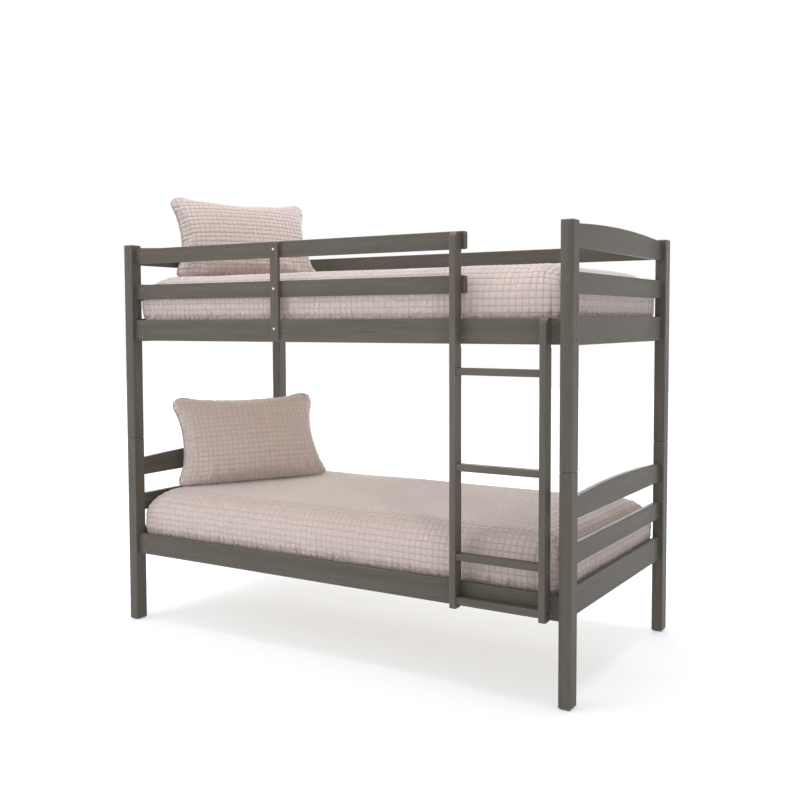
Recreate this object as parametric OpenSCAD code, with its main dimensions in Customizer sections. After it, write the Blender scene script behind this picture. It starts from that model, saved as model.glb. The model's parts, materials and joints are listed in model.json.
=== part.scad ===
// Twin-over-twin bunk bed with a bolted ladder and quilted bedding.
// Origin: middle of the overall footprint, on the floor. +X runs along the bed, +Y to the back.

/* [Frame] */
// Overall length over the posts
bed_l = 1987.55; // [1950:0.05:2050]
// Overall depth, ladder included
bed_d = 1047.75; // [1020:0.05:1100]
// Height of the posts, both bunks stacked
bed_h = 1574.8; // [1540:0.1:1650]
// Height at which the upper posts stand on the lower posts
stack_z = 772; // [740:1:800]
// Width of a post, along the bed
post_w = 44; // [42:1:48]
// Depth of a post, across the bed
post_d = 54; // [52:1:60]
// Radius of the long edges of the timber
edge_r = 4; // [2:0.5:5]
// Chamfer where the posts meet and on their tops
post_chamfer = 3; // [1:0.5:5]
// Chamfer round the feet
foot_chamfer = 7; // [2:0.5:9]

/* [Side rails] */
// Height of a side rail
side_rail_h = 86; // [80:1:100]
// Thickness of side, end and guard rails
rail_t = 20; // [18:0.5:20]
// Distance of a side rail's face behind the post's face
side_setback = 18; // [14:0.5:20]
// Underside of the lower side rails
lower_side_z = 282; // [260:1:300]
// Underside of the upper side rails
upper_side_z = 1179; // [1170:1:1200]

/* [End rails] */
// Distance of an end rail's face behind the post's face
end_setback = 17.2; // [14:0.1:18]
// Height of a bottom end rail
end_rail_h = 95; // [90:1:100]
// Height of a middle end rail
mid_rail_h = 70; // [60:1:80]
// Height of an arched top rail at its ends
arch_end_h = 73; // [60:1:73]
// Extra height of the arch in the middle
arch_rise = 16; // [10:1:22]
// Underside of the lower bottom end rails
lower_end_z = 293; // [280:1:300]
// Underside of the upper bottom end rails
upper_end_z = 1176; // [1170:1:1182]
// Step from the bottom end rail's underside to the middle rail's
mid_step = 168; // [150:1:180]
// Step from the bottom end rail's underside to the arched rail's
arch_step = 317; // [300:1:318]

/* [Guard rails] */
// Distance of a guard rail's face behind the post's face
guard_setback = 24; // [22:0.5:30]
// Height of a guard rail
guard_h = 61; // [50:1:64]
// Underside of the top guard rails
guard_top_z = 1497.5; // [1490:0.5:1505]
// Underside of the middle guard rails
guard_mid_z = 1349.5; // [1340:0.5:1360]
// Free end of the front guard rails, from the left end of the bed
guard_end_x = 1590.5; // [1585:0.5:1595]
// Middle of the support strip, from the left end of the bed
strip_x = 787; // [600:1:1000]
// Width of the support strip
strip_w = 36; // [30:1:45]
// Thickness of the support strip
strip_t = 18; // [14:1:20]

/* [Ladder] */
// Left face of the ladder, from the left end of the bed
ladder_x = 1556; // [1550:1:1560]
// Overall width of the ladder
ladder_w = 350.5; // [340:0.5:355]
// Distance that the ladder stands in front of the posts
ladder_out = 24; // [20:1:30]
// Thickness of a stringer
stringer_t = 23; // [20:1:26]
// Depth of a stringer between the side rails
stringer_d = 48; // [46:1:52]
// Height of a rung
rung_h = 24; // [20:1:30]
// Distance of a rung behind the stringer's front face
rung_setback = 7; // [5:1:10]

/* [Bed base] */
// Number of slats in each bunk
slat_count = 12; // [8:1:14]
// Width of a slat
slat_w = 70; // [50:1:90]
// Thickness of a slat
slat_t = 15; // [12:1:20]
// Top of the slats above the side rail's underside
slat_top = 60; // [55:1:70]

/* [Bedding] */
// Height of a mattress
mattress_h = 202; // [150:1:210]
// Thickness of the quilted coverlet
coverlet_t = 9; // [6:0.5:9]
// Width of a pillow
pillow_w = 660; // [600:5:680]
// Height of the lower pillow, which stands nearly straight
lower_pillow_h = 396; // [350:1:400]
// Height of the upper pillow, which is slumped a little
upper_pillow_h = 372; // [340:1:380]
// Greatest thickness of a pillow
pillow_t = 150; // [120:5:170]

/* [Hidden] */
$fn = 48;

wood_grey = [0.43, 0.42, 0.39];
slat_wood = [0.74, 0.66, 0.52];
bolt_dark = [0.25, 0.24, 0.23];
bolt_bright = [0.80, 0.80, 0.80];
cloth_pink = [0.83, 0.74, 0.72];
ticking = [0.93, 0.92, 0.90];

left_x = -bed_l / 2;
front_y = -bed_d / 2 + ladder_out;
back_y = bed_d / 2;
frame_d = back_y - front_y;
mid_y = (front_y + back_y) / 2;

rail_mid = side_setback + rail_t / 2;
guard_mid = guard_setback + rail_t / 2;
end_mid = end_setback + rail_t / 2;
inner_l = bed_l - 2 * (end_setback + rail_t);
end_rail_l = frame_d - 2 * post_d;
arch_r = pow(end_rail_l / 2, 2) / (2 * arch_rise) + arch_rise / 2;
arch_fn = 1440;

// Stacking pins, half in each post
pin_d = 12;
pin_l = 80;
pin_clear = 0.5;

// How far a cutting shape reaches past the face it cuts
past = 1;

// Connecting bolts with barrel nuts, two in each end of a side rail and one in each guard rail end
bolt_d = 6;
bolt_hole_d = 6.6;
bolt_l = 92;
bolt_rise = 27.5;
guard_bolt_z = 40;
head_d = 13;
head_h = 3;
head_hole_d = 14;
head_recess = 0.5;
socket_w = 4;
bolt_end_gap = 3;
nut_d = 10;
nut_hole_d = 10.4;
nut_l = 14;
nut_clear = 0.4;
nut_x = post_w + 34;

// Dowels that join the end rails to the posts
dowel_d = 10;
dowel_in_post = 15;
dowel_in_rail = 30;

// Ladder and strip screws
screw_d = 6;
rung_screw_l = 60;
screw_head_d = 11;
screw_head_h = 2.5;
mount_bolt_grip = 25;
mount_bolt_rises = [28, 58];
strip_screw_d = 5;
strip_screw_l = 28;
strip_screw_rise = 50;
strip_head_d = 9;
strip_head_h = 1.8;
strip_socket_w = 3;
strip_socket_h = 1.2;
strip_front = guard_setback - strip_t;
strip_bottom_z = upper_side_z + 9;
strip_top_z = guard_top_z + guard_h - 3;
strip_corner_r = 7;
strip_edge_r = 2;
guard_corner_r = 8;

// Stringers and rungs, and the room that a notch leaves above and below a rail
stringer_back = stringer_d - ladder_out;
stringer_edge_r = 3;
stringer_nose_r = 25;
stringer_toe = 5;
stringer_drop = 4;
notch_room = 8;
rung_z = [1087, 763, 458, 308];
rung_d = ladder_out + side_setback - rung_setback;

// Slats and the ledgers that carry them
ledger_h = 25;
ledger_t = 24;
ledger_gap = 12;
ledger_edge_r = 1.5;
slat_gap = 1.5;
slat_edge_r = 2;
slat_screw_d = 4;
slat_screw_l = 32;
slat_head_d = 8;
slat_head_h = 3;

// Bedding
soft_gap = 0.3;
cover_gap = 1;
cover_l = bed_l - 2 * (post_w + cover_gap / 2);
cover_d = frame_d - 2 * (guard_setback + rail_t + cover_gap);
mattress_inset = 2 * (coverlet_t + soft_gap);
mattress_r = 55;
mattress_corner_r = 22;
skirt_rise = 8;
pillow_corner_r = 14;
pillow_crown = 0.8;
lower_pillow_pos = [305, 468];
lower_pillow_yaw = 62.5;
lower_pillow_tilt = 20.5;
upper_pillow_pos = [222, 545];
upper_pillow_yaw = 68;
upper_pillow_tilt = 17;

// ---- Placing ----

// A corner of the frame: local x and y run inwards from the post's outer faces.
module corner(right, back) {
    translate([right ? -left_x : left_x, back ? back_y : front_y, 0])
        mirror([right ? 1 : 0, 0, 0])
            mirror([0, back ? 1 : 0, 0])
                children();
}

// Local y runs inwards from the front or the back of the frame, x stays the bed's own.
module long_side(back) {
    translate([0, back ? back_y : front_y, 0])
        mirror([0, back ? 1 : 0, 0])
            children();
}

// Local x runs inwards from the left or the right end, y stays the bed's own.
module short_end(right) {
    translate([right ? -left_x : left_x, 0, 0])
        mirror([right ? 1 : 0, 0, 0])
            children();
}

// ---- Timber ----

module rounded_rect(w, h, r) {
    translate([r, 0])
        square([w - 2 * r, h]);
    translate([0, r])
        square([w, h - 2 * r]);
    for (x = [r, w - r], y = [r, h - r])
        translate([x, y])
            circle(r);
}

module bar_x(x0, x1, y, z, w, h, r) {
    translate([x0, y, z])
        rotate([90, 0, 90])
            linear_extrude(x1 - x0)
                rounded_rect(w, h, r);
}

module bar_y(y0, y1, x, z, w, h, r) {
    translate([x, y1, z])
        rotate([90, 0, 0])
            linear_extrude(y1 - y0)
                rounded_rect(w, h, r);
}

module bar_z(z0, z1, x, y, w, d, r) {
    translate([x, y, z0])
        linear_extrude(z1 - z0)
            rounded_rect(w, d, r);
}

module rod_x(x0, x1, y, z, d) {
    translate([x0, y, z])
        rotate([0, 90, 0])
            cylinder(d = d, h = x1 - x0);
}

module rod_y(y0, y1, x, z, d) {
    translate([x, y1, z])
        rotate([90, 0, 0])
            cylinder(d = d, h = y1 - y0);
}

module rod_z(z0, z1, x, y, d) {
    translate([x, y, z0])
        cylinder(d = d, h = z1 - z0);
}

// ---- Posts ----

// Side view of a post of width w, with chamfer c at the bottom and post_chamfer at the top.
module post_outline(w, z0, z1, c) {
    t = post_chamfer;
    polygon([
        [0, z0 + c], [c, z0], [w - c, z0], [w, z0 + c],
        [w, z1 - t], [w - t, z1], [t, z1], [0, z1 - t]
    ]);
}

// A bar with rounded edges and chamfered ends.
module post_blank(z0, z1, c) {
    intersection() {
        bar_z(z0, z1, 0, 0, post_w, post_d, edge_r);
        rotate([90, 0, 90])
            linear_extrude(post_w)
                post_outline(post_d, z0, z1, c);
        translate([0, post_d, 0])
            rotate([90, 0, 0])
                linear_extrude(post_d)
                    post_outline(post_w, z0, z1, c);
    }
}

module bolt_holes(y, zs) {
    for (z = zs) {
        rod_x(-past, post_w + past, y, z, bolt_hole_d);
        rod_x(-past, head_h, y, z, head_hole_d);
    }
}

// Heights of the two dowels in each rail of an end whose bottom rail starts at z.
function dowel_heights(z) = [
    for (rail = [[0, end_rail_h], [mid_step, mid_rail_h], [arch_step, arch_end_h]], side = [-1, 1])
        z + rail[0] + rail[1] / 2 + side * rail[1] / 4
];

function bolt_heights(side_z) = [
    for (side = [-1, 1]) side_z + side_rail_h / 2 + side * bolt_rise
];

function guard_heights() = [guard_mid_z + guard_bolt_z, guard_top_z + guard_bolt_z];

module dowel_holes(zs) {
    for (z = zs)
        rod_y(post_d - dowel_in_post, post_d + past, end_mid, z, dowel_d);
}

module lower_post(right, back) {
    color(wood_grey)
        corner(right, back)
            difference() {
                post_blank(0, stack_z, foot_chamfer);
                bolt_holes(rail_mid, bolt_heights(lower_side_z));
                dowel_holes(dowel_heights(lower_end_z));
                rod_z(stack_z - pin_l / 2, stack_z + past, post_w / 2, post_d / 2, pin_d);
            }
}

module upper_post(right, back, guarded) {
    color(wood_grey)
        corner(right, back)
            difference() {
                post_blank(stack_z, bed_h, post_chamfer);
                bolt_holes(rail_mid, bolt_heights(upper_side_z));
                dowel_holes(dowel_heights(upper_end_z));
                if (guarded)
                    bolt_holes(guard_mid, guard_heights());
                rod_z(stack_z - past, stack_z + pin_l / 2 + past, post_w / 2, post_d / 2, pin_d + pin_clear);
            }
}

module lower_post_front_left() lower_post(false, false);
module lower_post_front_right() lower_post(true, false);
module lower_post_back_left() lower_post(false, true);
module lower_post_back_right() lower_post(true, true);
module upper_post_front_left() upper_post(false, false, true);
module upper_post_front_right() upper_post(true, false, false);
module upper_post_back_left() upper_post(false, true, true);
module upper_post_back_right() upper_post(true, true, true);

module stacking_pins() {
    color(bolt_bright)
        for (right = [false, true], back = [false, true])
            corner(right, back)
                rod_z(stack_z - pin_l / 2, stack_z + pin_l / 2, post_w / 2, post_d / 2, pin_d);
}

// ---- End rails ----

module rail_dowel_holes(zs) {
    for (z = zs) {
        rod_y(front_y + post_d - past, front_y + post_d + dowel_in_rail, end_mid, z, dowel_d);
        rod_y(back_y - post_d - dowel_in_rail, back_y - post_d + past, end_mid, z, dowel_d);
    }
}

module end_bar(right, z, h) {
    color(wood_grey)
        short_end(right)
            difference() {
                bar_y(front_y + post_d, back_y - post_d, end_setback, z, rail_t, h, edge_r);
                rail_dowel_holes([z + h / 4, z + h * 3 / 4]);
            }
}

// The top follows a circle of radius arch_r; its rim carries the rounded edges.
module arch_bar(right, z) {
    rim = 2 * edge_r;
    color(wood_grey)
        short_end(right)
            difference() {
                intersection() {
                    union() {
                        translate([end_setback, mid_y, z + arch_end_h + arch_rise - arch_r])
                            rotate([0, 90, 0])
                                rotate_extrude($fn = arch_fn)
                                    translate([arch_r - arch_end_h / 2, 0])
                                        rounded_rect(arch_end_h / 2, rail_t, edge_r);
                        bar_y(front_y, back_y, end_setback, z, rail_t, arch_end_h - rim, edge_r);
                    }
                    translate([0, front_y + post_d, z])
                        cube([post_w, end_rail_l, arch_end_h + arch_rise + past]);
                }
                rail_dowel_holes([z + arch_end_h / 4, z + arch_end_h * 3 / 4]);
            }
}

module lower_end_rail_left() end_bar(false, lower_end_z, end_rail_h);
module lower_end_rail_right() end_bar(true, lower_end_z, end_rail_h);
module lower_mid_rail_left() end_bar(false, lower_end_z + mid_step, mid_rail_h);
module lower_mid_rail_right() end_bar(true, lower_end_z + mid_step, mid_rail_h);
module lower_arch_rail_left() arch_bar(false, lower_end_z + arch_step);
module lower_arch_rail_right() arch_bar(true, lower_end_z + arch_step);
module upper_end_rail_left() end_bar(false, upper_end_z, end_rail_h);
module upper_end_rail_right() end_bar(true, upper_end_z, end_rail_h);
module upper_mid_rail_left() end_bar(false, upper_end_z + mid_step, mid_rail_h);
module upper_mid_rail_right() end_bar(true, upper_end_z + mid_step, mid_rail_h);
module upper_arch_rail_left() arch_bar(false, upper_end_z + arch_step);
module upper_arch_rail_right() arch_bar(true, upper_end_z + arch_step);

module dowels(end_z) {
    color(slat_wood)
        for (right = [false, true], back = [false, true], z = dowel_heights(end_z))
            corner(right, back)
                rod_y(post_d - dowel_in_post, post_d + dowel_in_rail, end_mid, z, dowel_d);
}

module lower_dowels() dowels(lower_end_z);
module upper_dowels() dowels(upper_end_z);

// ---- Side rails ----

// For a rail whose middle lies at y, in a corner's own frame.
module bolt_and_nut_holes(y, zs) {
    for (z = zs) {
        rod_x(post_w - past, bolt_l + bolt_end_gap, y, z, bolt_hole_d);
        rod_y(y - nut_l / 2, y + rail_t / 2 + past, nut_x, z, nut_hole_d);
    }
}

module side_bar(back, side_z) {
    difference() {
        long_side(back)
            bar_x(left_x + post_w, -left_x - post_w, side_setback, side_z, rail_t, side_rail_h, edge_r);
        for (right = [false, true])
            corner(right, back)
                bolt_and_nut_holes(rail_mid, bolt_heights(side_z));
    }
}

module lower_side_rail_front() {
    color(wood_grey)
        side_bar(false, lower_side_z);
}

module lower_side_rail_back() {
    color(wood_grey)
        side_bar(true, lower_side_z);
}

module upper_side_rail_front() {
    color(wood_grey)
        difference() {
            side_bar(false, upper_side_z);
            strip_screw_holes();
            mount_bolt_holes();
        }
}

module upper_side_rail_back() {
    color(wood_grey)
        side_bar(true, upper_side_z);
}

// ---- Connecting bolts and barrel nuts ----

// The head sits in the post's outer face and the shank ends past the barrel nut.
module rail_bolt() {
    difference() {
        union() {
            rod_x(head_recess, head_h, 0, 0, head_d);
            rod_x(head_h, bolt_l, 0, 0, bolt_d);
        }
        rotate([0, 90, 0])
            cylinder(d = socket_w / cos(30), h = head_h - head_recess, $fn = 6);
    }
}

module barrel_nut() {
    difference() {
        rod_y(-nut_l / 2, nut_l / 2, nut_x, 0, nut_d);
        rod_x(nut_x - nut_d, nut_x + nut_d, 0, 0, bolt_d + nut_clear);
    }
}

// Depth and height of each bolt in one corner.
function bolt_spots(upper, right, back) = concat(
    [for (z = bolt_heights(upper ? upper_side_z : lower_side_z)) [rail_mid, z]],
    [for (z = guard_heights()) if (upper && (back || !right)) [guard_mid, z]]
);

module at_bolts(upper) {
    for (right = [false, true], back = [false, true], spot = bolt_spots(upper, right, back))
        corner(right, back)
            translate([0, spot[0], spot[1]])
                children();
}

module rail_bolts(upper) {
    color(bolt_dark)
        at_bolts(upper)
            rail_bolt();
}

module barrel_nuts(upper) {
    color(bolt_bright)
        at_bolts(upper)
            barrel_nut();
}

module lower_rail_bolts() rail_bolts(false);
module upper_rail_bolts() rail_bolts(true);
module lower_barrel_nuts() barrel_nuts(false);
module upper_barrel_nuts() barrel_nuts(true);

// ---- Ledgers and slats ----

function slat_x(i) = (i - (slat_count - 1) / 2)
    * (bed_l - 2 * post_w - 2 * slat_gap - slat_w) / (slat_count - 1);

module ledger(back, side_z) {
    color(wood_grey)
        long_side(back)
            difference() {
                bar_x(-inner_l / 2 + ledger_gap, inner_l / 2 - ledger_gap,
                      side_setback + rail_t, side_z + slat_top - slat_t - ledger_h,
                      ledger_t, ledger_h, ledger_edge_r);
                for (i = [0 : slat_count - 1])
                    slat_screw(slat_x(i), side_z);
            }
}

// A countersunk screw through a slat into the ledger, in the side's own frame.
module slat_screw(x, side_z) {
    top = side_z + slat_top;
    y = side_setback + rail_t + ledger_t / 2;
    rod_z(top - slat_screw_l, top - slat_head_h, x, y, slat_screw_d);
    translate([x, y, top - slat_head_h])
        cylinder(d1 = slat_screw_d, d2 = slat_head_d, h = slat_head_h);
}

module slats(side_z) {
    color(slat_wood)
        for (i = [0 : slat_count - 1])
            difference() {
                bar_y(front_y + side_setback + rail_t + slat_gap, back_y - side_setback - rail_t - slat_gap,
                      slat_x(i) - slat_w / 2, side_z + slat_top - slat_t, slat_w, slat_t, slat_edge_r);
                for (back = [false, true])
                    long_side(back)
                        slat_screw(slat_x(i), side_z);
            }
}

module slat_screws(side_z) {
    color(bolt_bright)
        for (i = [0 : slat_count - 1], back = [false, true])
            long_side(back)
                slat_screw(slat_x(i), side_z);
}

module lower_ledger_front() ledger(false, lower_side_z);
module lower_ledger_back() ledger(true, lower_side_z);
module upper_ledger_front() ledger(false, upper_side_z);
module upper_ledger_back() ledger(true, upper_side_z);
module lower_slats() slats(lower_side_z);
module upper_slats() slats(upper_side_z);
module lower_slat_screws() slat_screws(lower_side_z);
module upper_slat_screws() slat_screws(upper_side_z);

// ---- Guard rails ----

// The free end of a front guard rail has rounded corners.
module guard_front(z) {
    color(wood_grey)
        difference() {
            intersection() {
                long_side(false)
                    bar_x(left_x + post_w, left_x + guard_end_x, guard_setback, z, rail_t, guard_h, edge_r);
                translate([left_x, front_y + post_d, z])
                    rotate([90, 0, 0])
                        linear_extrude(post_d)
                            rounded_rect(guard_end_x, guard_h, guard_corner_r);
            }
            corner(false, false)
                bolt_and_nut_holes(guard_mid, [z + guard_bolt_z]);
            strip_screw_holes();
            mount_bolt_holes();
        }
}

module guard_back(z) {
    color(wood_grey)
        difference() {
            long_side(true)
                bar_x(left_x + post_w, -left_x - post_w, guard_setback, z, rail_t, guard_h, edge_r);
            for (right = [false, true])
                corner(right, true)
                    bolt_and_nut_holes(guard_mid, [z + guard_bolt_z]);
        }
}

module guard_top_rail_front() guard_front(guard_top_z);
module guard_mid_rail_front() guard_front(guard_mid_z);
module guard_top_rail_back() guard_back(guard_top_z);
module guard_mid_rail_back() guard_back(guard_mid_z);

function strip_screw_heights() = [
    upper_side_z + strip_screw_rise, guard_mid_z + guard_h / 2, guard_top_z + guard_h / 2
];

module strip_screw_holes() {
    for (z = strip_screw_heights())
        rod_y(front_y + strip_front - past, front_y + strip_front + strip_screw_l,
              left_x + strip_x, z, strip_screw_d);
}

// Lies on the faces of the guard rails and is notched over the side rail.
module guard_support_strip() {
    x = left_x + strip_x - strip_w / 2;
    y = front_y + strip_front;
    notch_top = upper_side_z + side_rail_h + notch_room;
    color(wood_grey)
        difference() {
            intersection() {
                bar_z(strip_bottom_z, strip_top_z, x, y, strip_w, strip_t, strip_edge_r);
                translate([x, y + strip_t, strip_bottom_z])
                    rotate([90, 0, 0])
                        linear_extrude(strip_t)
                            rounded_rect(strip_w, strip_top_z - strip_bottom_z, strip_corner_r);
            }
            translate([x - past, front_y + side_setback, strip_bottom_z - past])
                cube([strip_w + 2 * past, strip_t, notch_top - strip_bottom_z + past]);
            strip_screw_holes();
        }
}

module guard_strip_screws() {
    y = front_y + strip_front;
    color(bolt_bright)
        for (z = strip_screw_heights()) {
            rod_y(y, y + strip_screw_l, left_x + strip_x, z, strip_screw_d);
            difference() {
                rod_y(y - strip_head_h, y, left_x + strip_x, z, strip_head_d);
                translate([left_x + strip_x, y - strip_head_h + strip_socket_h, z])
                    rotate([90, 0, 0])
                        cylinder(d = strip_socket_w / cos(30), h = strip_head_h, $fn = 6);
            }
        }
}

// ---- Ladder ----

// Side view of a stringer, notched over the side rails. A tall one lies flat on the guard rails.
module stringer_outline(top_z, tall) {
    front = -ladder_out;
    bottom_z = lower_side_z - 2;
    step = stringer_back - side_setback;
    low_z = lower_side_z + side_rail_h + notch_room;
    under_z = upper_side_z - notch_room;
    over_z = upper_side_z + side_rail_h + notch_room;
    polygon(concat(
        [
            [front + stringer_toe, bottom_z], [side_setback - stringer_toe, bottom_z],
            [side_setback, bottom_z + stringer_toe], [side_setback, low_z],
            [stringer_back, low_z + step], [stringer_back, under_z - step], [side_setback, under_z]
        ],
        tall
            ? [[side_setback, over_z], [stringer_back, over_z + step], [stringer_back, top_z]]
            : [[side_setback, top_z]],
        [[front + stringer_nose_r, top_z], [front, top_z - stringer_nose_r], [front, bottom_z + stringer_toe]]
    ));
    intersection() {
        translate([front + stringer_nose_r, top_z - stringer_nose_r])
            circle(stringer_nose_r);
        translate([front, top_z - stringer_nose_r])
            square(stringer_nose_r);
    }
}

module stringer(x, top_z, tall) {
    color(wood_grey)
        difference() {
            intersection() {
                translate([x, front_y, 0])
                    rotate([90, 0, 90])
                        linear_extrude(stringer_t)
                            stringer_outline(top_z, tall);
                bar_z(0, bed_h, x, front_y - ladder_out, stringer_t, stringer_d, stringer_edge_r);
            }
            rung_bolt_holes();
            mount_bolt_holes();
        }
}

module ladder_stringer_left() stringer(left_x + ladder_x, guard_top_z + guard_h - stringer_drop, true);
module ladder_stringer_right() {
    stringer(left_x + ladder_x + ladder_w - stringer_t, upper_side_z + side_rail_h, false);
}

module rung(z) {
    color(wood_grey)
        difference() {
            bar_x(left_x + ladder_x + stringer_t, left_x + ladder_x + ladder_w - stringer_t,
                  front_y - ladder_out + rung_setback, z - rung_h / 2, rung_d, rung_h, edge_r);
            rung_bolt_holes();
        }
}

module ladder_rung_1() rung(rung_z[0]);
module ladder_rung_2() rung(rung_z[1]);
module ladder_rung_3() rung(rung_z[2]);
module ladder_rung_4() rung(rung_z[3]);

// A bolt from each stringer's outer face into the end of each rung.
module at_rung_bolts() {
    for (z = rung_z, right = [false, true])
        translate([left_x + ladder_x + ladder_w / 2, front_y - ladder_out + rung_setback + rung_d / 2, z])
            mirror([right ? 1 : 0, 0, 0])
                translate([-ladder_w / 2, 0, 0])
                    children();
}

module rung_bolt_holes() {
    at_rung_bolts() {
        rod_x(-past, rung_screw_l, 0, 0, screw_d);
        rod_x(-past, screw_head_h, 0, 0, screw_head_d);
    }
}

module ladder_rung_bolts() {
    color(bolt_dark)
        at_rung_bolts()
            difference() {
                union() {
                    rod_x(head_recess, screw_head_h, 0, 0, screw_head_d);
                    rod_x(screw_head_h, rung_screw_l, 0, 0, screw_d);
                }
                rotate([0, 90, 0])
                    cylinder(d = socket_w / cos(30), h = screw_head_h - head_recess, $fn = 6);
            }
}

// Bolts from inside the rails into the backs of the stringers.
module at_mount_bolts() {
    left_string = left_x + ladder_x + stringer_t / 2;
    right_string = left_x + ladder_x + ladder_w - stringer_t / 2;
    rail_y = side_setback + rail_t;
    guard_y = guard_setback + rail_t;
    spots = concat(
        [for (x = [left_string, right_string], rise = mount_bolt_rises) [x, rail_y, upper_side_z + rise]],
        [for (z = [guard_mid_z, guard_top_z]) [left_string, guard_y, z + guard_h / 2]]
    );
    for (spot = spots)
        translate([spot[0], front_y + spot[1], spot[2]])
            children();
}

module mount_bolt_holes() {
    at_mount_bolts() {
        rod_y(-rail_t - mount_bolt_grip, past, 0, 0, screw_d);
        rod_y(-screw_head_h, past, 0, 0, screw_head_d);
    }
}

module ladder_mount_bolts() {
    color(bolt_dark)
        at_mount_bolts()
            difference() {
                union() {
                    rod_y(-screw_head_h, -head_recess, 0, 0, screw_head_d);
                    rod_y(-rail_t - mount_bolt_grip, -screw_head_h, 0, 0, screw_d);
                }
                rotate([90, 0, 0])
                    cylinder(d = socket_w / cos(30), h = screw_head_h - head_recess, $fn = 6);
            }
}

// ---- Bedding ----

// Side view of a soft block of width w, with its top edges rounded to radius r.
module soft_outline(w, z0, z1, r) {
    translate([0, z0])
        square([w, z1 - r - z0]);
    translate([r, z0])
        square([w - 2 * r, z1 - z0]);
    for (x = [r, w - r])
        translate([x, z1 - r])
            circle(r);
}

// A block whose upright corners have radius c and whose top edges have radius r.
module soft_block(l, d, z0, z1, r, c) {
    intersection() {
        translate([-l / 2, mid_y - d / 2, z0])
            linear_extrude(z1 - z0)
                rounded_rect(l, d, c);
        translate([-l / 2, mid_y + d / 2, 0])
            rotate([90, 0, 0])
                linear_extrude(d)
                    soft_outline(l, z0, z1, r);
        translate([-l / 2, mid_y - d / 2, 0])
            rotate([90, 0, 90])
                linear_extrude(l)
                    soft_outline(d, z0, z1, r);
    }
}

module mattress(side_z) {
    z0 = side_z + slat_top;
    color(ticking)
        soft_block(cover_l - mattress_inset, cover_d - mattress_inset, z0 + soft_gap,
                   z0 + mattress_h, mattress_r, mattress_corner_r);
}

// Covers the top and the sides of the mattress and is tucked down inside the rails.
module coverlet(side_z) {
    z0 = side_z + slat_top;
    color(cloth_pink)
        difference() {
            soft_block(cover_l, cover_d, z0 + skirt_rise, z0 + mattress_h + coverlet_t,
                       mattress_r + coverlet_t, mattress_corner_r + coverlet_t);
            soft_block(cover_l - 2 * coverlet_t, cover_d - 2 * coverlet_t, z0 - past,
                       z0 + mattress_h + soft_gap, mattress_r, mattress_corner_r);
        }
}

// A plump middle and four flat corners, leaning back and standing on the coverlet.
module pillow(side_z, pos, yaw, tilt, h) {
    seat_z = side_z + slat_top + mattress_h + coverlet_t + soft_gap;
    corner_r = pillow_corner_r;
    color(cloth_pink)
        intersection() {
            translate([left_x + pos[0], front_y + pos[1], seat_z])
                rotate([0, 0, yaw])
                    rotate([-tilt, 0, 0])
                        hull() {
                            for (x = [-1, 1], z = [corner_r, h - corner_r])
                                translate([x * (pillow_w / 2 - corner_r), 0, z])
                                    sphere(corner_r, $fn = 16);
                            translate([0, 0, h / 2])
                                resize([pillow_w * pillow_crown, pillow_t, h * pillow_crown])
                                    sphere(pillow_t, $fn = 32);
                        }
            translate([left_x, front_y, seat_z])
                cube([bed_l, frame_d, 2 * h]);
        }
}

module lower_mattress() mattress(lower_side_z);
module upper_mattress() mattress(upper_side_z);
module lower_coverlet() coverlet(lower_side_z);
module upper_coverlet() coverlet(upper_side_z);
module lower_pillow() {
    pillow(lower_side_z, lower_pillow_pos, lower_pillow_yaw, lower_pillow_tilt, lower_pillow_h);
}
module upper_pillow() {
    pillow(upper_side_z, upper_pillow_pos, upper_pillow_yaw, upper_pillow_tilt, upper_pillow_h);
}

lower_post_front_left();
lower_post_front_right();
lower_post_back_left();
lower_post_back_right();
lower_end_rail_left();
lower_end_rail_right();
lower_mid_rail_left();
lower_mid_rail_right();
lower_arch_rail_left();
lower_arch_rail_right();
lower_side_rail_front();
lower_side_rail_back();
lower_ledger_front();
lower_ledger_back();
lower_slats();
lower_slat_screws();
lower_rail_bolts();
lower_barrel_nuts();
lower_dowels();
stacking_pins();
upper_post_front_left();
upper_post_front_right();
upper_post_back_left();
upper_post_back_right();
upper_end_rail_left();
upper_end_rail_right();
upper_mid_rail_left();
upper_mid_rail_right();
upper_arch_rail_left();
upper_arch_rail_right();
upper_side_rail_front();
upper_side_rail_back();
upper_ledger_front();
upper_ledger_back();
upper_slats();
upper_slat_screws();
upper_rail_bolts();
upper_barrel_nuts();
upper_dowels();
guard_top_rail_front();
guard_mid_rail_front();
guard_top_rail_back();
guard_mid_rail_back();
guard_support_strip();
guard_strip_screws();
ladder_stringer_left();
ladder_stringer_right();
ladder_rung_1();
ladder_rung_2();
ladder_rung_3();
ladder_rung_4();
ladder_rung_bolts();
ladder_mount_bolts();
lower_mattress();
lower_coverlet();
lower_pillow();
upper_mattress();
upper_coverlet();
upper_pillow();
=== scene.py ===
import json
import math

import bpy
import numpy as np
from mathutils import Matrix, Vector


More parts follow.
